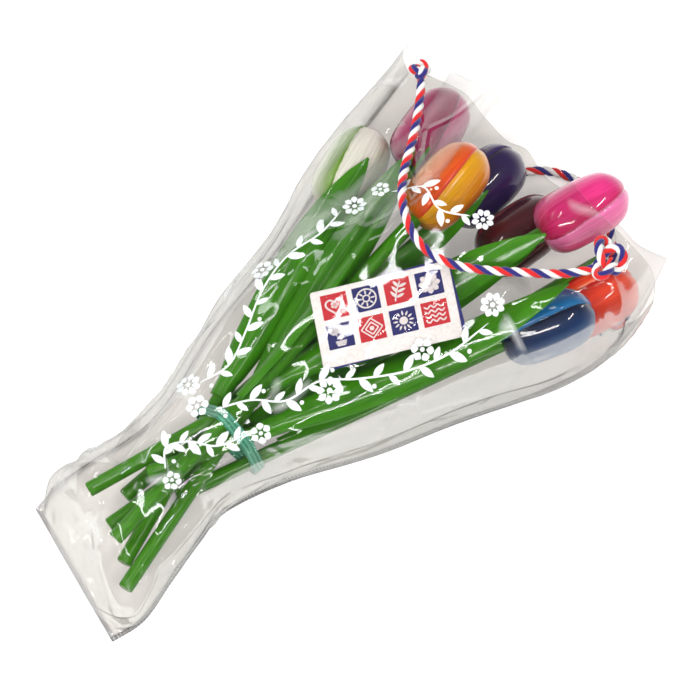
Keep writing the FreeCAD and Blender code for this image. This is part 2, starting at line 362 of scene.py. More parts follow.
def layStrands(line, phase=0.0, frayed=0.0):
    # three strands laid round a line; over the frayed length at its end they open out and thin
    points, length = evenly(line, cordPlan["ringStep"])
    frames = carriedFrames(points)
    rings = len(points) - 1
    cap, capShare = cordPlan["capLength"], cordPlan["capShare"]
    bm = bmesh.new()
    for strand in range(3):
        def place(u, v):
            i = round(u * rings)
            side, up, ahead = frames[i]
            turn = phase + 2 * math.pi * (strand / 3 + length * i / rings / cordPlan["lay"])
            out = side * math.cos(turn) + up * math.sin(turn)
            along = side * -math.sin(turn) + up * math.cos(turn)
            opened = ease(length - frayed, length, length * i / rings) if frayed else 0.0
            offset = cordPlan["strandOffset"] * (1 + cordPlan["openOut"] * opened)
            run = (ahead * cordPlan["lay"] + along * 2 * math.pi * offset).normalized()
            over = run.cross(out)
            radius = cordPlan["strandRadius"] * (1 - cordPlan["thinOut"] * opened)
            ends = min(i, rings - i) * length / rings
            if ends < cap:
                radius *= capShare + (1 - capShare) * ends / cap
            around = 2 * math.pi * v
            return points[i] + out * offset + (out * math.cos(around) + over * math.sin(around)) * radius

        warpedGrid(bm, rings, cordPlan["sides"], place, strand)
    bmesh.ops.remove_doubles(bm, verts=bm.verts, dist=weldReach)
    openEdges = [edge for edge in bm.edges if edge.is_boundary]
    bmesh.ops.holes_fill(bm, edges=openEdges, sides=cordPlan["sides"])
    turns = length / (2 * math.pi * cordPlan["strandRadius"])
    mapUv(bm, lambda u, v: (u * turns, v))
    return bm, points


def makeCord(name, route):
    line = routeLine(name, route)
    bm, points = layStrands(line)
    piece = makePiece(name + "_strands", bm, strandMaterials, "bag")
    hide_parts(name)
    total = sum((b - a).length for a, b in zip(points, points[1:]))
    tuple(points[0])
    [tuple(point) for point in points]


def makeKnot(name, settings):
    middle = Vector(settings["middle"]) * mm
    facing = Vector(settings["facing"]).normalized()
    tilt = Vector((0, 0, 1)).rotation_difference(facing).to_matrix()
    turn = Matrix.Rotation(math.radians(settings["turn"]), 3, "Z")
    start, end = settings["ends"]
    steps, perPoint = cordPlan["knotSteps"], cordPlan["tailSteps"]
    line = []
    for k in range(steps + 1):
        t = start + (end - start) * k / steps
        wander = 1 + cordPlan["wander"] * math.sin(2.3 * t + settings["turn"])
        flat = Vector((math.sin(t) + 2 * math.sin(2 * t), math.cos(t) - 2 * math.cos(2 * t), 0)) * wander
        flat = Matrix.Diagonal((*settings["size"], 1.0)) @ flat
        flat.z = -settings["height"] * math.sin(3 * t)
        line.append(middle + tilt @ (turn @ flat) * mm)
    tail = [line[-1]] + [Vector(spot) * mm for spot in settings.get("tail", [])]
    for k in range(1, perPoint * (len(tail) - 1) + 1):
        line.append(through(tail, k / perPoint))
    bm, points = layStrands(line, phase=1.0, frayed=settings["frayed"] * mm)
    piece = makePiece(name + "_strands", bm, strandMaterials, "bag")
    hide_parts(name)
    return piece


knots = {name: makeKnot(name, settings) for name, settings in knotPlan.items()}
makeCord("front_handle_cord", frontRoute)
makeCord("back_handle_cord", backRoute)
print("cords laid")


# Tulips

def tulipFrame(name):
    # the middles of a dowel's two ends, from the frame's own mesh, and the directions along it,
    # above it and to its left
    mesh = bpy.data.objects[name + "_stem"].data
    places = sorted({tuple(round(c, 6) for c in vert.co) for vert in mesh.vertices})
    half = (places[0][0] + places[-1][0]) / 2
    low = [Vector(place) for place in places if place[0] < half]
    high = [Vector(place) for place in places if place[0] >= half]
    foot, end = sum(low, Vector()) / len(low), sum(high, Vector()) / len(high)
    axis = (end - foot).normalized()
    above = (Vector((0, 0, 1)) - axis * axis.z).normalized()
    return foot, end, axis, above, above.cross(axis)


headPlan = {
    "length": 50.0 * mm,
    "radius": 17.0 * mm,
    "socketDepth": 16.0 * mm,
    "outline": [
        (0, 0), (0, 0.28), (0.012, 0.5), (0.05, 0.7), (0.12, 0.88), (0.22, 0.97), (0.33, 1),
        (0.46, 1), (0.6, 0.99), (0.73, 0.945), (0.84, 0.85), (0.92, 0.68), (0.965, 0.48),
        (0.985, 0.28), (0.975, 0.1), (0.965, 0),
    ],
    "petals": 3,
    "skew": -0.28,
    "step": 1.0 * mm,
    "groove": 0.7 * mm,
    "grooveWidth": 0.022,
    "inset": 0.35 * mm,
    "tipRise": 0.028,
    "aroundSteps": 168,
    "alongSteps": 56,
}

leafPlan = {
    "thickness": 1.4 * mm,
    "stemRadius": 4.0 * mm,
    "fit": 0.15 * mm,
    "length": 230.0 * mm,
    "halfWidth": 12.5 * mm,
    "places": [0, 0.1, 0.25, 0.45, 0.65, 0.8, 0.92, 1],
    "widths": [0.46, 0.6, 0.85, 1, 0.95, 0.72, 0.4, 0.1],
    "curls": [0, 0.56, 0.92, 1.16, 1.30, 1.36, 1.41, 1.44],
    "liftPower": 1.4,
    "bandPlace": -0.353 * 178.5 * mm,
    "alongSteps": 72,
    "acrossSteps": 20,
    "rib": 0.25 * mm,
    "ribWidth": 0.08,
    "rim": 0.35 * mm,
}

# The cut end's rows give the distance along in mm and the share of the radius.
stemPlan = {
    "cutEnd": [(0, 0), (0, 0.6), (0, 0.86), (0.3, 0.95), (0.8, 1)],
    "rows": 44,
    "sides": 28,
    "grainLength": 6.0,
}

# For each tulip: the turn of its petals in degrees, its painted colours (base, belly, top, low edge
# and high edge of a petal), how far the two edges reach over a petal, and its leaf's shares.
tulips = {
    "white": {
        "turn": -2, "paint": ("dfe2b8", "f6f5ea", "faf9f2", "78a83c", "e8e8d4"), "reach": (0.6, 0.04),
        "leaf": (0.049, 0.647, 0, -0.137, 5.35, 1.01),
    },
    "burgundy": {
        "turn": -52, "paint": ("6e0a38", "a82460", "a0305e", "7c1040", "d05c90"), "reach": (0.12, 0.6),
        "leaf": (0.085, 0.685, 0, -0.05, 6.3, 0.98),
    },
    "yellow": {
        "turn": -32, "paint": ("d89c00", "f0b400", "f6bc00", "ec4414", "f2a800"), "reach": (1, 0.12),
        "leaf": (0.06, 0.719, 0.284, 0.187, 5.1, 0.78),
    },
    "purple": {
        "turn": 0, "paint": ("1c0a34", "26124a", "2c1850", "3a2660", "160828"), "reach": (0.1, 0.1),
        "leaf": (0.253, 0.57, -0.32, 0.165, 5.4, 0.61),
    },
    "maroon": {
        "turn": 40, "paint": ("30060e", "4c0a18", "44101c", "6a1828", "26060a"), "reach": (0.1, 0.1),
        "leaf": (0.065, 0.763, -0.078, -0.122, 6.55, 1.01),
    },
    "pink": {
        "turn": -55, "paint": ("a00830", "d0246e", "d83882", "b80c50", "e878ac"), "reach": (0.25, 0.55),
        "leaf": (0.139, 0.70, 0.075, -0.2, 4.9, 1),
    },
    "blue": {
        "turn": -22, "paint": ("061238", "0c2c5c", "123c74", "1c74b4", "06102c"), "reach": (0.7, 0.3),
        "leaf": (0.058, 0.743, -0.057, 0.172, 6.2, 1),
    },
    "red": {
        "turn": 120, "paint": ("b01008", "e8341c", "f25a34", "f0602c", "b01008"), "reach": (0.1, 0.2),
        "leaf": (0.073, 0.84, 0.065, 0.237, 5.3, 0.8),
    },
}


def paintedBud(name, settings):
    # turned limewood under brushed paint and clear lacquer: soft streaks along each petal, high gloss
    base, belly, top, lowEdge, highEdge = [linear(colour) for colour in settings["paint"]]
    lowReach, highReach = settings["reach"]
    material, tree = startMaterial(name + " lacquered limewood")
    uv = onUv(tree)
    parts = addNode(tree, "SeparateXYZ", {"Vector": uv})
    around, along = parts.outputs["X"], parts.outputs["Y"]
    slant = maths(tree, "MULTIPLY", along, headPlan["skew"])
    petals = maths(tree, "MULTIPLY", around, headPlan["petals"])
    across = maths(tree, "FRACT", maths(tree, "ADD", petals, slant))
    brush = clouds(tree, stretched(tree, uv, 60.0, 3.0), 1.0, 5.0, 0.6)
    wobble = maths(tree, "MULTIPLY_ADD", brush, 0.5, -0.25)
    tone = toned(tree, maths(tree, "ADD", along, wobble), (0.05, base), (0.35, belly), (0.95, top))
    ragged = maths(tree, "MULTIPLY_ADD", wobble, 0.5, across)
    for edge, reachStart, reachEnd in ((lowEdge, lowReach, 0.0), (highEdge, 1 - highReach, 1.0)):
        mask = remap(tree, ragged, reachStart, reachEnd)
        tone = addNode(tree, "Mix", {0: mask, 6: tone, 7: edge}, data_type="RGBA").outputs[2]
    streaks = remap(tree, brush, 0.3, 0.7, 0.82, 1.1)
    tone = addNode(tree, "VectorMath", {0: tone, 1: streaks}, operation="MULTIPLY").outputs[0]
    return principled(material, {
        "Base Color": tone,
        "Roughness": 0.4,
        "IOR": 1.5,
        "Specular IOR Level": 0.15,
        "Coat Weight": 1.0,
        "Coat Roughness": 0.05,
        "Normal": bumped(tree, brush, 0.25, 0.15 * mm),
    })


def makeHead(name, settings):
    foot, end, axis, above, left = tulipFrame(name)
    base = end - axis * headPlan["socketDepth"]
    outline = [Vector(point) for point in headPlan["outline"]]
    turn = math.radians(settings["turn"])

    def place(u, v):
        along, out = through(outline, v * (len(outline) - 1))
        out = max(out, 0.0)
        across = (u * headPlan["petals"] + v * headPlan["skew"]) % 1.0
        edge = min(across, 1 - across)
        fade = ease(0.12, 0.3, v) * ease(1.0, 0.92, v)
        groove = headPlan["groove"] * math.exp(-((edge / headPlan["grooveWidth"]) ** 2))
        relief = headPlan["step"] * (0.35 - across) - groove
        radius = out * headPlan["radius"] - headPlan["inset"] + relief * fade
        tip = ease(0.72, 0.95, v) * (1 - (2 * across - 1) ** 2) * headPlan["tipRise"]
        tip *= 1 - ease(0.93, 1.0, v)
        angle = 2 * math.pi * u + turn
        way = above * math.cos(angle) + left * math.sin(angle)
        radius = max(radius, 0.0) if out > 0 else 0.0
        return base + axis * (along + tip) * headPlan["length"] + way * radius

    bm = bmesh.new()
    warpedGrid(bm, headPlan["aroundSteps"], headPlan["alongSteps"], place)
    head = makePiece(name + "_bud", bm, [paintedBud(name, settings)], "bunch")
    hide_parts(name + "_head")


def greenLacquer(name, look):
    # green lacquer over beech dowel or bent birch veneer: even gloss, with faint grain lines along it
    material, tree = startMaterial(name)
    uv = onUv(tree)
    grain = clouds(tree, stretched(tree, uv, 3.0, look["lines"]), look["scale"], 6.0, look["rough"])
    blend = grain
    if look["patches"]:
        fine = maths(tree, "MULTIPLY", grain, 1 - look["patches"])
        blend = maths(tree, "MULTIPLY_ADD", clouds(tree, uv, 4.0, 2.0), look["patches"], fine)
    return principled(material, {
        "Base Color": toned(tree, blend, *look["stops"]),
        "Roughness": 0.4,
        "Specular IOR Level": 0.15,
        "Coat Weight": 0.45,
        "Coat Roughness": look["gloss"],
        "Normal": bumped(tree, grain, look["bump"], 0.2 * mm),
    })


dowelMaterial = greenLacquer("green lacquered beech dowel", {
    "lines": 14.0, "scale": 2.0, "rough": 0.65, "patches": 0.0, "bump": 0.3, "gloss": 0.1,
    "stops": [(0.25, "286204"), (0.5, "3b8407"), (0.8, "4f9c0c")],
})
veneerMaterial = greenLacquer("green lacquered birch veneer", {
    "lines": 26.0, "scale": 1.6, "rough": 0.6, "patches": 0.35, "bump": 0.35, "gloss": 0.12,
    "stops": [(0.3, "296803"), (0.5, "3b8805"), (0.72, "4f9e0a")],
})


def makeStem(name):
    foot, end, axis, above, left = tulipFrame(name)
    length = (end - foot).length
    radius = leafPlan["stemRadius"]
    cutEnd, last = stemPlan["cutEnd"], stemPlan["rows"]

    def place(u, v):
        row = round(v * last)
        if row < len(cutEnd):
            along, share = cutEnd[row][0] * mm, cutEnd[row][1]
        elif row < last:
            along, share = length * (row - len(cutEnd) + 1) / (last - len(cutEnd)), 1.0
        else:
            along, share = length, 0.0
        angle = 2 * math.pi * u
        return foot + axis * along + (above * math.cos(angle) + left * math.sin(angle)) * radius * share

    bm = bmesh.new()
    warpedGrid(bm, stemPlan["sides"], last, place)
    mapUv(bm, lambda u, v: (v * stemPlan["grainLength"], u))
    stem = makePiece(name + "_dowel", bm, [dowelMaterial], "bunch")
    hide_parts(name + "_stem")


def tableAt(table, along):
    # a value of the leaf's own table, smoothly between its uneven places
    places = leafPlan["places"]
    index = 0
    while index < len(places) - 2 and places[index + 1] < along:
        index += 1
    share = (along - places[index]) / (places[index + 1] - places[index])
    return through(table, index + share)


def makeLeaf(name, shares):
    foot, end, axis, above, left = tulipFrame(name)
    start, length, roll, twist, lift, width = shares
    heel = leafPlan["stemRadius"] + leafPlan["fit"] + leafPlan["thickness"] / 2
    bandReach = (leafPlan["bandPlace"] - foot.x) / axis.x

    def place(along, v):
        curl = max(heel, tableAt(leafPlan["curls"], along) * leafPlan["halfWidth"])
        apex = heel + (lift * leafPlan["stemRadius"] - heel) * along ** leafPlan["liftPower"]
        half = tableAt(leafPlan["widths"], along) * width * leafPlan["halfWidth"]
        half *= math.sqrt(max(0.0, 1 - ease(0.97, 1.0, along) * 0.75))
        turn = math.pi * (roll + twist * along)
        angle = (2 * v - 1) * half / curl
        side = curl * math.sin(angle)
        height = apex - curl + curl * math.cos(angle)
        rib = leafPlan["rib"] * math.exp(-((2 * v - 1) / leafPlan["ribWidth"]) ** 2)
        height += rib * ease(0.05, 0.2, along) * ease(1.0, 0.8, along)
        sideways = left * (side * math.cos(turn) + height * math.sin(turn))
        upwards = above * (height * math.cos(turn) - side * math.sin(turn))
        reach = bandReach + (start + length * along) * leafPlan["length"]
        return foot + axis * reach + sideways + upwards

    bm = bmesh.new()
    warpedGrid(bm, leafPlan["alongSteps"], leafPlan["acrossSteps"], place)
    leaf = makePiece(name + "_blade", bm, [veneerMaterial], "bunch", closed=False)
    addWall(leaf, leafPlan["thickness"])
    roundEdges(leaf, leafPlan["rim"], 2)
    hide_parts(name + "_leaf")


for name, settings in tulips.items():
    makeHead(name, settings)
    makeStem(name)
    makeLeaf(name, settings["leaf"])
print("tulips made")


# Band round the stems

bandPlan = {"merge": 0.001 * mm, "edge": 0.3 * mm}


def tintedRubber():
    # thin teal rubber: satin, with a slight give of light at its edges
    material, tree = startMaterial("teal natural rubber")
    place = onObject(tree)
    turns = addNode(tree, "TexWave", {
        "Vector": place, "Scale": perMetre(7), "Distortion": 0.6,
    }, bands_direction="X")
    blend = maths(tree, "MULTIPLY_ADD", turns.outputs["Fac"], 0.6, clouds(tree, place, perMetre(1.1), 3.0))
    return principled(material, {
        "Base Color": toned(tree, blend, (0.4, "237c5e"), (0.95, "62b898")),
        "Roughness": 0.4,
        "Subsurface Weight": 0.1,
        "Subsurface Scale": 0.002,
        "Normal": bumped(tree, blend, 0.5, 0.4 * mm),
    })


def makeBand():
    bm = bmesh.new()
    bm.from_mesh(bpy.data.objects["stem_band"].data)
    bmesh.ops.remove_doubles(bm, verts=bm.verts, dist=bandPlan["merge"])
    band = makePiece("rubber_band", bm, [tintedRubber()], "bunch")
    roundEdges(band, bandPlan["edge"], 3)
    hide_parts("stem_band")


makeBand()
print("band made")


# Film bag

filmPlan = {
    "halfLength": 178.5 * mm,
    "halfWidth": 98.5 * mm,
    "height": 83.0 * mm,
    "thickness": 0.25 * mm,
    "lift": 0.9 * mm,
    "alongSteps": 190,
    "acrossSteps": 130,
    "foldedLength": 360,  # plain millimetres, as in the list of folds
    "foldedWidth": 260,
    "backSteps": (120, 80),
    "backLift": 0.15 * mm,
    "backWave": 0.12 * mm,
}

# Stations from the closed end to the mouth: the right and left edges and the height, as shares.
bagStations = [
    ((-1, -0.252), (-0.884, 0.561), 0),
    ((-0.891, -0.287), (-0.775, 0.573), 0.44),
    ((-0.749, -0.232), (-0.644, 0.542), 0.47),
    ((-0.611, -0.182), (-0.564, 0.505), 0.51),
    ((-0.499, -0.160), (-0.467, 0.489), 0.54),
    ((-0.300, -0.279), (-0.347, 0.523), 0.60),
    ((-0.076, -0.486), (-0.123, 0.640), 0.73),
    ((0.185, -0.685), (0.140, 0.716), 0.84),
    ((0.429, -0.887), (0.381, 0.822), 0.935),
    ((0.616, -0.980), (0.594, 0.899), 0.965),
    ((0.784, -0.944), (0.896, 0.990), 1),
]
backMouth = [
    (1, -0.812), (0.972, -0.65), (0.979, -0.485), (0.958, -0.25), (0.937, -0.01), (0.963, 0.18),
    (0.943, 0.30), (0.952, 0.49), (0.968, 0.67), (0.939, 0.86), (0.912, 1),
]
roundArch = [Vector(pair) for pair in (
    (0, 0), (0.015, 0), (-0.004, 0.15), (-0.014, 0.32), (-0.02, 0.5), (-0.012, 0.72), (0.025, 0.9),
    (0.11, 1), (0.22, 1.01), (0.35, 1.015), (0.48, 1.012), (0.6, 1), (0.7, 0.97), (0.8, 0.905),
    (0.9, 0.72), (0.96, 0.5), (0.988, 0.3), (0.99, 0.14), (0.988, 0), (1, 0),
)]
lowArch = [Vector(pair) for pair in (
    (0, 0), (0.015, 0), (-0.008, 0.15), (-0.024, 0.32), (-0.032, 0.5), (-0.026, 0.72), (0.008, 0.92),
    (0.09, 1.005), (0.2, 1.015), (0.34, 1.02), (0.48, 1.015), (0.6, 1), (0.68, 0.875), (0.8, 0.71),
    (0.92, 0.645), (0.978, 0.5), (0.996, 0.3), (0.994, 0.14), (0.988, 0), (1, 0),
)]
# Folds pressed into the front sheet: both ends along and across it, width and height in mm.
folds = [
    (0.115, 0.56, 0.083, 0.485, 8, 3.4), (0.083, 0.485, 0.055, 0.25, 9, 3.6),
    (0.03, 0.9, 0.22, 0.60, 9, 2.8), (0.02, 0.25, 0.17, 0.33, 8, 2.4),
    (0.1, 0.35, 0.40, 0.26, 8, 2.6), (0.25, 0.70, 0.57, 0.80, 9, 2.6),
    (0.57, 0.80, 0.93, 0.80, 9, 2.6), (0.2, 0.6, 0.6, 0.70, 8, 1.8),
    (0.28, 0.45, 0.55, 0.33, 7, 1.6), (0.4, 0.62, 0.75, 0.76, 8, 2),
    (0.45, 0.24, 0.82, 0.22, 10, 2.8), (0.5, 0.10, 0.9, 0.12, 9, 2.4),
    (0.55, 0.7, 0.98, 0.66, 7, 2), (0.62, 0.42, 1, 0.5, 9, 1.8),
    (0.80, 0.40, 0.93, 0.35, 6, 2.4), (0.93, 0.38, 0.885, 0.22, 6, 2.8),
    (0.72, 0.62, 1, 0.72, 8, 2), (0.82, 0.15, 1, 0.22, 8, 2.6),
    (0.01, 0.98, 0.10, 0.62, 7, 2.6), (0.10, 0.62, 0.20, 0.86, 7, 2.2),
    (0.27, 0.40, 0.34, 0.52, 5, 2.2), (0.33, 0.12, 0.46, 0.2, 8, 2.6),
]


def filmMaterial():
    # clear PVC film: nearly invisible face on, a faint grey in depth, glossy where it bends, with soft pale
    # streaks along its creases that are partly the film's own whitening and partly a painted highlight
    material, tree = startMaterial("clear pvc film")
    place = onObject(tree)
    warp = addNode(tree, "TexNoise", {"Vector": place, "Scale": perMetre(60), "Detail": 1.0})
    bent = addNode(tree, "Mix", {0: 0.03, 4: place, 5: warp.outputs["Color"]}, data_type="VECTOR")
    cells = addNode(tree, "TexVoronoi", {
        "Vector": bent.outputs[1], "Scale": perMetre(45),
    }, feature="DISTANCE_TO_EDGE")
    crease = remap(tree, cells.outputs["Distance"], 0.0, 0.07, 1.0, 0.0)
    soft = clouds(tree, place, perMetre(40), 2.0)
    normal = bumped(tree, maths(tree, "MULTIPLY_ADD", crease, 0.22, soft), 0.6, 3 * mm)
    facing = addNode(tree, "Fresnel", {"IOR": 1.45, "Normal": normal})
    shine = remap(tree, facing.outputs[0], 0.0, 1.0, 0.0, 0.32)
    edgeOn = addNode(tree, "LayerWeight", {"Blend": 0.25})
    depth = toned(tree, edgeOn.outputs["Facing"], (0.0, "f7f6f5"), (0.5, "efeeec"), (0.95, "b4b5b6"))
    # pale streaks along the creases: partly the film's own whitening, partly a painted highlight that stands
    # in for glare
    white = maths(tree, "MULTIPLY", crease, remap(tree, soft, 0.58, 0.75, 0.0, 0.5))
    gloss = addNode(tree, "BsdfGlossy", {"Color": linear("fbfcfc"), "Roughness": 0.05, "Normal": normal})
    creaseWhiteningAndHighlight = addNode(tree, "BsdfDiffuse", {"Color": linear("f4f6f6")})
    clear = addNode(tree, "BsdfTransparent", {"Color": depth})
    clearWithCreaseHighlight = addNode(tree, "MixShader", {0: white, 1: clear.outputs[0], 2: creaseWhiteningAndHighlight.outputs[0]})
    mixed = addNode(tree, "MixShader", {0: shine, 1: clearWithCreaseHighlight.outputs[0], 2: gloss.outputs[0]})
    return finished(material, mixed)


def filmEdgeMaterial():
    # cut and welded film: the same PVC seen through its thickness, so greyer and less clear
    material, tree = startMaterial("welded pvc film edge")
    mottle = clouds(tree, onObject(tree), perMetre(3), 2.0)
    tone = toned(tree, mottle, (0.3, "e2e3e4"), (0.7, "f6f6f6"))
    return principled(material, {"Base Color": tone, "Roughness": 0.2, "IOR": 1.53, "Alpha": 0.6})


clearFilm = filmMaterial()
filmEdge = filmEdgeMaterial()


def inPlan(pair):
    return Vector((pair[0] * filmPlan["halfLength"], pair[1] * filmPlan["halfWidth"], 0))


rightEdge = [inPlan(row[0]) for row in bagStations]
leftEdge = [inPlan(row[1]) for row in bagStations]
heights = [row[2] * filmPlan["height"] for row in bagStations]


def frontPoint(u, v):
    place = u * (len(bagStations) - 1)
    right, left = through(rightEdge, place), through(leftEdge, place)
    height = max(0.0, through(heights, place))
    low = ease(7.0, 8.0, place)
    step = v * (len(roundArch) - 1)
    across, up = through(roundArch, step).lerp(through(lowArch, step), low)
    closed = ease(0.9, 0.0, place)
    across += (v - across) * closed
    point = right + (left - right) * across
    point.z = filmPlan["lift"] + max(0.0, up) * height
    # the mouth's cut edge waves, and draws back at both corners
    mouth = 2.6 + 2.6 * math.sin(17 * v + 0.6) + 9 * ease(0.93, 1.0, v) + 6 * ease(0.05, 0.0, v)
    point.x -= mouth * mm * ease(0.93, 1.0, u)
    return point


def foldHeight(u, v):
    # how far the folds lift the sheet at this place
    total = 0.0
    long, wide = filmPlan["foldedLength"], filmPlan["foldedWidth"]
    here = Vector((u * long, v * wide))
    for startU, startV, endU, endV, width, height in folds:
        start, end = Vector((startU * long, startV * wide)), Vector((endU * long, endV * wide))
        run = end - start
        share = (here - start).dot(run) / run.length_squared
        if -0.1 < share < 1.1:
            off = (here - start - run * share).length
            if off < width:
                ends = ease(-0.1, 0.15, share) * ease(1.1, 0.85, share)
                total = max(total, height * (1 - off / width) ** 1.4 * ends)
    wave = noise.noise(Vector((u * 9, v * 6, 3.0))) + 0.5 * noise.noise(Vector((u * 21, v * 15, 8.0)))
    inner = ease(0.0, 0.12, v) * ease(1.0, 0.88, v) * ease(0.0, 0.06, u)
    return (total + 0.9 * (wave + 0.7)) * inner * mm


def makeFrontFilm():
    bm = bmesh.new()
    spots = []

    def place(u, v):
        spots.append((u, v))
        return frontPoint(u, v)

    verts = warpedGrid(bm, filmPlan["alongSteps"], filmPlan["acrossSteps"], place)
    bm.normal_update()
    up = 1 if sum(vert.normal.z for vert in verts) > 0 else -1
    for vert, (u, v) in zip(verts, spots):
        vert.co += vert.normal * up * foldHeight(u, v)
    if up < 0:
        bmesh.ops.reverse_faces(bm, faces=bm.faces)
    tree = BVHTree.FromBMesh(bm)
    area = sum(face.calc_area() for face in bm.faces)
    film = makePiece("front_film", bm, [clearFilm, filmEdge], "bag", closed=False)
    addWall(film, filmPlan["thickness"], 1, 1)
    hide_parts("bag_front_sheet")
    return tree, area


def makeBackFilm():
    rights = rightEdge + [inPlan(backMouth[0])]
    lefts = leftEdge + [inPlan(backMouth[-1])]
    mouth = [inPlan(pair) for pair in backMouth]

    def place(u, v):
        at = u * (len(rights) - 1)
        right, left = through(rights, at), through(lefts, at)
        point = right.lerp(left, v)
        last = rights[-1].lerp(lefts[-1], v)
        point += (through(mouth, v * (len(mouth) - 1)) - last) * ease(9.0, 11.0, at)
        wave = filmPlan["backWave"] * (1 + noise.noise(Vector((u * 14, v * 9, 0))))
        point.z = filmPlan["backLift"] + wave
        return point

    bm = bmesh.new()
    warpedGrid(bm, *filmPlan["backSteps"], place)
    area = sum(face.calc_area() for face in bm.faces)
    film = makePiece("back_film", bm, [clearFilm, filmEdge], "bag", closed=False)
    addWall(film, filmPlan["thickness"], 0, 1)
    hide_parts("bag_back_sheet")


frontTree, frontArea = makeFrontFilm()
makeBackFilm()
print("film laid, front area", round(frontArea, 4))


# Flat shapes for what is printed: each is laid by a function from plan millimetres to a place

def toward(angle):
    return Vector((math.cos(angle), math.sin(angle)))


def petal(bm, lay, root, tip, width, ink=0, full=0.9):
    run = tip - root
    side = Vector((-run.y, run.x)).normalized()

    def place(u, v):
        half = width / 2 * math.sin(math.pi * u ** full) ** 0.8 if 0 < u < 1 else 0
        return lay(root + run * u + side * half * (2 * v - 1))

    warpedGrid(bm, 10, 4, place, ink)


def stroke(bm, lay, line, width, ink=0, steps=60, taper=True):
    last = len(line) - 1

    def place(u, v):
        here = through(line, u * last)
        ahead = through(line, min(u + 0.01, 1) * last) - through(line, max(u - 0.01, 0) * last)
        side = Vector((-ahead.y, ahead.x)).normalized()
        half = width / 2 * (ease(0.0, 0.08, u) * ease(1.0, 0.92, u) * 0.8 + 0.2 if taper else 1)
        return lay(here + side * half * (2 * v - 1))

    warpedGrid(bm, steps, 2, place, ink)


def ring(bm, lay, middle, inner, outer, ink=0):
    def place(u, v):
        return lay(middle + toward(2 * math.pi * u) * (inner + (outer - inner) * v))

    warpedGrid(bm, 20, 2, place, ink)


def daisy(bm, lay, middle, size, petals, ink=0, turn=0.0):
    for k in range(petals):
        way = toward(turn + 2 * math.pi * k / petals)
        petal(bm, lay, middle + way * size * 0.16, middle + way * size * 0.5, size * 2.1 / petals, ink, 1.2)
    ring(bm, lay, middle, 0.0, size * 0.1, ink)


def leafPair(bm, lay, middle, way, size, ink=0):
    side = Vector((-way.y, way.x))
    for sign in (-1, 1):
        petal(bm, lay, middle, middle + (way * 0.75 + side * sign) * size * 0.8, size * 0.34, ink)


def faceUp(bm):
    bm.normal_update()
    bmesh.ops.reverse_faces(bm, faces=[face for face in bm.faces if face.normal.z < 0])


# Print on the front film: vines with daisies, leaves and dots, in white ink

printPlan = {
    "lift": 0.45 * mm,
    "vine": 1.0,
    "vines": [
        [(-60, 30), (-44, 25), (-26, 31), (-6, 40), (16, 44), (36, 40), (54, 43)],
        [(-66, 14), (-50, 4), (-38, -10), (-20, -16), (-6, -30), (12, -44), (34, -54), (58, -58)],
        [(-104, 10), (-96, 18), (-86, 12), (-78, 0), (-66, -6)],
        [(78, 30), (88, 18), (84, 2), (92, -12)],
    ],
    "daisies": [
        (-65, 34, 13, 8), (4, 50, 12, 6), (61, 40, 13, 8), (-70, 22, 12, 6), (-20, -23, 14, 8),
        (26, -43, 12, 6), (66, -53, 13, 8), (-58, -12, 11, 6), (-106, 3, 10, 6), (95, -18, 12, 8),
        (76, 36, 10, 6),
    ],
    "leaf": 9.5,
    "dots": 1.1,
}


def onFilm(spot):
    # the place on the front film above a place in plan
    above = Vector((spot.x * mm, spot.y * mm, 0.2))
    hit, normal = frontTree.ray_cast(above, Vector((0, 0, -1)))[:2]
    if hit is None:
        hit, normal = frontTree.find_nearest(Vector((above.x, above.y, 0)))[:2]
    return hit + normal * printPlan["lift"]


def whiteInk():
    # screen-printed white ink on film: matt and nearly solid, thinner in a fine speckle
    material, tree = startMaterial("white screen ink")
    speckle = clouds(tree, onObject(tree), perMetre(0.8), 2.0)
    tone = toned(tree, speckle, (0.3, "d6dcde"), (0.6, "eef1f2"))
    thin = remap(tree, speckle, 0.25, 0.5, 0.7, 0.92)
    return principled(material, {"Base Color": tone, "Roughness": 0.55, "Alpha": thin})


def makeFilmPrint():
    bm = bmesh.new()
    for vine in printPlan["vines"]:
        line = [Vector(spot) for spot in vine]
        stroke(bm, onFilm, line, printPlan["vine"])
        count = 3 * (len(line) - 1)
        for k in range(1, count):
            at = k / 3
            here = through(line, at)
            ahead = (through(line, min(at + 0.05, len(line) - 1)) - through(line, at - 0.05)).normalized()
            side = Vector((-ahead.y, ahead.x)) * (1 if k % 2 else -1)
            size = printPlan["leaf"] * (1 - 0.25 * (k % 3) / 2)
            petal(bm, onFilm, here, here + (ahead * 0.7 + side * 0.75) * size, size * 0.42)
            if k % 3 == 1:
                ring(bm, onFilm, here - side * size * 0.55, 0.0, printPlan["dots"])
    for x, y, size, petals in printPlan["daisies"]:
        daisy(bm, onFilm, Vector((x, y)), size, petals, turn=0.3 + x)
    faceUp(bm)
    makePiece("film_print", bm, [whiteInk()], "bag", closed=False)


makeFilmPrint()
print("film printed")


# Cards under the film

# In plain millimetres and degrees, because the print is laid out in them.
cardPlan = {
    "length": 73.0,
    "width": 42.5,
    "thickness": 0.5,
    "turn": -35.0,
    "rise": 11.0,
    "corner": 1.5,
    "curl": 1.1,
    "clearOfLeaf": 1.3,
    "square": 13.6,
    "pitch": 16.6,
    "firstRow": 11.4,
    "inkLift": 0.08,
    "alongSteps": 146,
    "acrossSteps": 85,
}


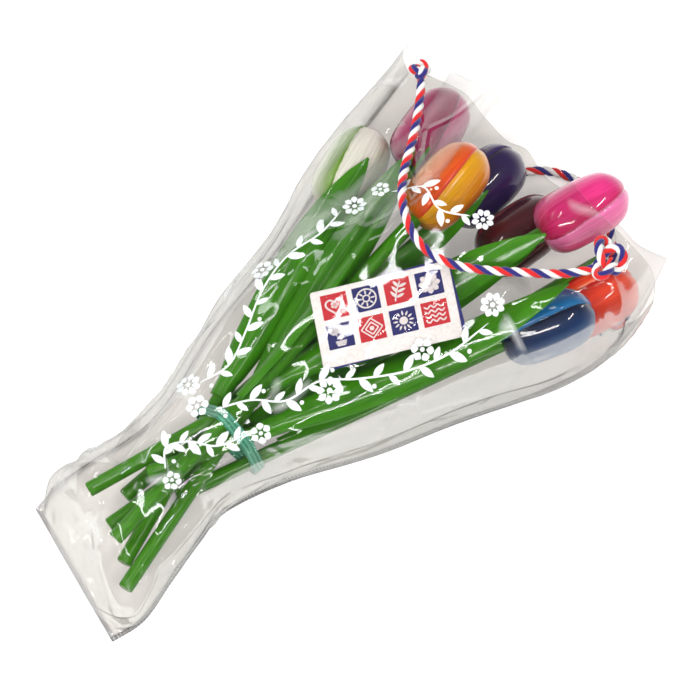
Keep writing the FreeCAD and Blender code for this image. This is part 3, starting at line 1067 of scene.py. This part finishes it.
def cardLay(node, extraTurn, lift, slip=(0.0, 0.0)):
    # from millimetres on the card, measured from its middle, to a place on its gently curled face
    low, high = [Vector(corner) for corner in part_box(node)]
    tilt = Matrix.Rotation(math.radians(cardPlan["turn"] + extraTurn), 3, "Z")
    tilt = tilt @ Matrix.Rotation(math.radians(-cardPlan["rise"]), 3, "Y")

    def lay(spot):
        across = spot.y / (cardPlan["width"] / 2)
        along = spot.x / (cardPlan["length"] / 2)
        bend = cardPlan["curl"] * (0.5 * across * across + 0.5 * along**4 * (0.5 + 0.5 * across))
        up = cardPlan["clearOfLeaf"] + lift + bend
        return (low + high) / 2 + tilt @ Vector((spot.x + slip[0], spot.y + slip[1], up)) * mm

    return lay


def paper(name, colour):
    # coated card stock: satin, faintly mottled by its fibres
    material, tree = startMaterial(name)
    fibres = clouds(tree, onObject(tree), perMetre(1.5), 5.0)
    return principled(material, {
        "Base Color": toned(tree, fibres, (0.3, shaded(colour, 0.86)), (0.6, colour)),
        "Roughness": 0.5,
        "Specular IOR Level": 0.3,
        "Normal": bumped(tree, fibres, 0.15, 0.1 * mm),
    })


def makeCard(name, node, extraTurn, material, slip=(0.0, 0.0)):
    lay = cardLay(node, extraTurn, 0.0, slip)
    length, width, radius = cardPlan["length"], cardPlan["width"], cardPlan["corner"]

    def place(u, v):
        spot = Vector(((u - 0.5) * length, (v - 0.5) * width))
        corner = Vector((length / 2 - abs(spot.x), width / 2 - abs(spot.y)))
        if max(corner) < radius:
            inward = Vector((radius - corner.x, radius - corner.y))
            if inward.length > radius:
                inward *= radius / inward.length
            spot.x = math.copysign(length / 2 - radius + inward.x, spot.x)
            spot.y = math.copysign(width / 2 - radius + inward.y, spot.y)
        return lay(spot)

    bm = bmesh.new()
    warpedGrid(bm, cardPlan["alongSteps"], cardPlan["acrossSteps"], place)
    faceUp(bm)
    card = makePiece(name, bm, [material], "bunch", closed=False)
    addWall(card, cardPlan["thickness"] * mm)
    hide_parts(node)


def makeCardPrint():
    # eight squares in red and navy, each with a plain white motif
    top = cardPlan["thickness"] / 2 + cardPlan["inkLift"]
    lay = cardLay("picture_card", 0.0, top)
    over = cardLay("picture_card", 0.0, top + cardPlan["inkLift"])
    bm = bmesh.new()
    half = cardPlan["square"] / 2
    for row in range(2):
        for column in range(4):
            x = (column - 1.5) * cardPlan["pitch"]
            y = cardPlan["firstRow"] - row * cardPlan["pitch"]
            middle = Vector((x, y))
            line = [middle - Vector((half, 0)), middle + Vector((half, 0))]
            stroke(bm, lay, line, 2 * half, (row + column) % 2, 20, taper=False)
            motifs[row * 4 + column](bm, over, middle)
    faceUp(bm)
    inks = (("red printing ink", "d0323c"), ("navy printing ink", "2c2e70"), ("unprinted paper", "efe9ea"))
    ink = [paper(name, colour) for name, colour in inks]
    makePiece("card_print", bm, ink, "bunch", closed=False)


def heartMotif(bm, lay, middle):
    line = []
    for k in range(25):
        t = 2 * math.pi * k / 24
        line.append(middle + Vector((
            16 * math.sin(t) ** 3,
            13 * math.cos(t) - 5 * math.cos(2 * t) - 2 * math.cos(3 * t) - math.cos(4 * t),
        )) * 0.29)
    stroke(bm, lay, line, 0.9, 2, 96, taper=False)
    daisy(bm, lay, middle + Vector((0, 0.6)), 4.2, 5, 2)


def starMotif(bm, lay, middle):
    daisy(bm, lay, middle, 11.5, 8, 2)
    daisy(bm, lay, middle, 7.0, 8, 2, math.pi / 8)


def sprigMotif(bm, lay, middle):
    foot = middle - Vector((2.2, 5.4))
    tip = middle + Vector((2.0, 5.2))
    stroke(bm, lay, [foot, middle - Vector((0.6, 0)), tip], 0.8, 2, 20)
    for share in (0.2, 0.45, 0.7):
        leafPair(bm, lay, foot.lerp(tip, share), (tip - foot).normalized(), 4.6, 2)


def wheelMotif(bm, lay, middle):
    ring(bm, lay, middle, 4.7, 5.5, 2)
    ring(bm, lay, middle, 1.4, 2.1, 2)
    for k in range(8):
        way = toward(k * math.pi / 4)
        petal(bm, lay, middle + way * 2.1, middle + way * 4.7, 0.9, 2)


def potMotif(bm, lay, middle):
    for lower, width in ((-5.2, 4.4), (-4.2, 5.2), (-3.2, 5.8)):
        ends = [middle + Vector((-width / 2, lower)), middle + Vector((width / 2, lower))]
        stroke(bm, lay, ends, 0.8, 2, 8, taper=False)
    for lean in (-0.7, 0.0, 0.7):
        top = middle + Vector((4.4 * lean, 3.4 - abs(lean)))
        stroke(bm, lay, [middle - Vector((0, 2.6)), top], 0.5, 2, 10)
        daisy(bm, lay, top, 4.2, 6, 2, lean)


def wavesMotif(bm, lay, middle):
    places = (-5.4, -3.6, -1.8, 0, 1.8, 3.6, 5.4)
    for k in range(4):
        line = [middle + Vector((x, 3.9 - 2.6 * k + 0.7 * (-1) ** j)) for j, x in enumerate(places)]
        stroke(bm, lay, line, 0.8, 2, 36)


def diamondMotif(bm, lay, middle):
    for size in (5.6, 3.4):
        corners = [middle + Vector(way) * size for way in ((1, 0), (0, 1), (-1, 0), (0, -1))]
        for start, end in zip(corners, corners[1:] + corners[:1]):
            stroke(bm, lay, [start, end], 0.7, 2, 10, taper=False)
    ring(bm, lay, middle, 0.0, 1.2, 2)


def sunMotif(bm, lay, middle):
    ring(bm, lay, middle, 0.0, 2.2, 2)
    for k in range(12):
        way = toward(k * math.pi / 6)
        petal(bm, lay, middle + way * 2.8, middle + way * 5.6, 1.0, 2)


motifs = [heartMotif, wheelMotif, sprigMotif, starMotif, potMotif, diamondMotif, sunMotif, wavesMotif]
makeCard("picture_card_sheet", "picture_card", 0.0, paper("white coated card", "fcf8f8"))
makeCard("backing_card_sheet", "backing_card", 2.5, paper("navy coated card", "34367e"), (1.4, 0.4))
makeCardPrint()
print("cards laid")


# Knurled welds along the closed end and both sides

# The pips are 1.9 mm apart, coarser than the real 1.2 mm or so, which would blur into a line.
weldPlan = {
    "width": 3.2 * mm,
    "pitch": 1.9 * mm,
    "lift": 0.5 * mm,
    "ridge": 0.25 * mm,
    "inside": Vector((0.02, 0, 0)),
}


def knurledWeld(name, colour):
    # two sheets welded by a toothed wheel: a double row of grey pips along a clear strip
    material, tree = startMaterial(name)
    parts = addNode(tree, "SeparateXYZ", {"Vector": onUv(tree)})
    pip = maths(tree, "COMPARE", maths(tree, "FRACT", parts.outputs["X"]), 0.5, 0.22)
    rows = maths(tree, "MULTIPLY", parts.outputs["Y"], 2.0)
    row = maths(tree, "COMPARE", maths(tree, "FRACT", rows), 0.5, 0.2)
    dark = addNode(tree, "BsdfPrincipled", {"Base Color": linear(colour), "Roughness": 0.3})
    clear = addNode(tree, "BsdfTransparent", {"Color": linear("fbfbfb")})
    mark = maths(tree, "MULTIPLY", pip, row)
    mixed = addNode(tree, "MixShader", {0: mark, 1: clear.outputs[0], 2: dark.outputs[0]})
    return finished(material, mixed)


def makeWeld(name, line, material):
    points, length = evenly(line, weldPlan["pitch"] / 4)
    rings = len(points) - 1
    middle = sum(points, Vector()) / len(points)

    def place(u, v):
        i = round(u * rings)
        ahead = points[min(i + 1, rings)] - points[max(i - 1, 0)]
        side = Vector((-ahead.y, ahead.x, 0)).normalized()
        if side.dot(weldPlan["inside"] - middle) < 0:
            side = -side
        ridge = weldPlan["ridge"] * (0.5 + 0.5 * math.cos(2 * math.pi * i / 4))
        point = points[i] + side * weldPlan["width"] * (v - 0.3)
        point.z = filmPlan["lift"] + weldPlan["lift"] + ridge
        return point

    bm = bmesh.new()
    warpedGrid(bm, rings, 6, place)
    pips = length / weldPlan["pitch"]
    mapUv(bm, lambda u, v: (u * pips, v))
    faceUp(bm)
    makePiece(name, bm, [material], "bag", closed=False)


# the right side's pips are dark: painted shade, a darker copy of the pale weld that the closed end and the
# left side use
shadedRightWeld = knurledWeld("knurled pvc weld in painted shade", "38363e")
endWeld = knurledWeld("pale knurled pvc weld", "dcd8de")
makeWeld("closed_end_weld", [frontPoint(0.0, k / 40) for k in range(41)], endWeld)
makeWeld("right_side_weld", [frontPoint(k / 120, 0.0) for k in range(121)], shadedRightWeld)
makeWeld("left_side_weld", [frontPoint(k / 120, 1.0) for k in range(121)], endWeld)
print("welds pressed")


# Floor, lamps and world

stagePlan = {"floorGlow": 0.4, "overhead": 0.12, "around": 0.28}


def anyOf(tree, rays, *names):
    # 1 on the rays of these kinds
    seen = rays.outputs[names[0]]
    for name in names[1:]:
        seen = maths(tree, "MAXIMUM", seen, rays.outputs[name])
    return seen


def paleFloor():
    # matt white board; it shows as white to the camera and keeps the soft shadow
    material, tree = startMaterial("white floor")
    rays = addNode(tree, "LightPath")
    seen = anyOf(tree, rays, "Is Camera Ray", "Is Glossy Ray", "Is Transmission Ray")
    glow = maths(tree, "MULTIPLY", seen, stagePlan["floorGlow"])
    matt = addNode(tree, "BsdfDiffuse", {"Color": linear("f0f0f0")})
    shine = addNode(tree, "Emission", {"Color": (1, 1, 1, 1), "Strength": glow})
    both = addNode(tree, "AddShader", {0: matt.outputs[0], 1: shine.outputs[0]})
    return finished(material, both)


def makeFloor():
    bm = bmesh.new()
    bmesh.ops.create_grid(bm, x_segments=4, y_segments=4, size=3.0)
    floor = addObject("floor", bm, [paleFloor()])
    floor.location.z = -0.2 * mm


# The broad lamps are diffused, so that they light the object without showing in its gloss.
lamps = {
    "key": {"at": (-0.9, 0.9, 1.5), "size": (0.9, 0.5), "power": 14, "mirrored": False},
    "fill": {"at": (1.3, -0.6, 1.2), "size": (1.2, 1.2), "power": 6, "mirrored": False},
    "front": {"at": (-0.5, -0.55, 1.35), "size": (0.9, 0.14), "power": 14, "mirrored": True},
    "strip": {"at": (-0.5, 0.9, 1.3), "size": (1.2, 0.06), "power": 4, "mirrored": True},
    "ridge": {"at": (-0.18, 0.4, 1.44), "size": (0.5, 0.05), "power": 3.6, "mirrored": True},
    "side": {"at": (0.42, -0.66, 1.45), "size": (0.5, 0.05), "power": 4, "mirrored": True},
}


def makeLamps():
    for name, settings in lamps.items():
        data = bpy.data.lights.new(name, "AREA")
        data.shape = "RECTANGLE"
        data.size, data.size_y = settings["size"]
        data.energy = settings["power"]
        lamp = bpy.data.objects.new(name, data)
        lamp.location = settings["at"]
        lamp.visible_glossy = settings["mirrored"]
        lamp.rotation_euler = Vector(settings["at"]).to_track_quat("Z", "Y").to_euler()
        scene.collection.objects.link(lamp)


def makeWorld():
    # white round the object, as the backdrop is, and dimmer overhead, where a studio has no backdrop
    world = bpy.data.worlds.new("studio")
    scene.world = world
    world.use_nodes = True
    tree = world.node_tree
    tree.nodes.clear()
    rays = addNode(tree, "LightPath")
    way = addNode(tree, "TexCoord")
    parts = addNode(tree, "SeparateXYZ", {"Vector": way.outputs["Generated"]})
    overhead = remap(tree, parts.outputs["Z"], 0.1, 0.6, 1.0, stagePlan["overhead"])
    shiny = maths(tree, "MULTIPLY", rays.outputs["Is Glossy Ray"], overhead)
    seen = maths(tree, "MAXIMUM", anyOf(tree, rays, "Is Camera Ray", "Is Transmission Ray"), shiny)
    strength = maths(tree, "MAXIMUM", seen, stagePlan["around"])
    sky = addNode(tree, "Background", {"Color": (1, 1, 1, 1), "Strength": strength})
    addNode(tree, "OutputWorld", {"Surface": sky.outputs[0]})


makeFloor()
makeLamps()
makeWorld()
scene.view_settings.view_transform = "Standard"
print("stage set")
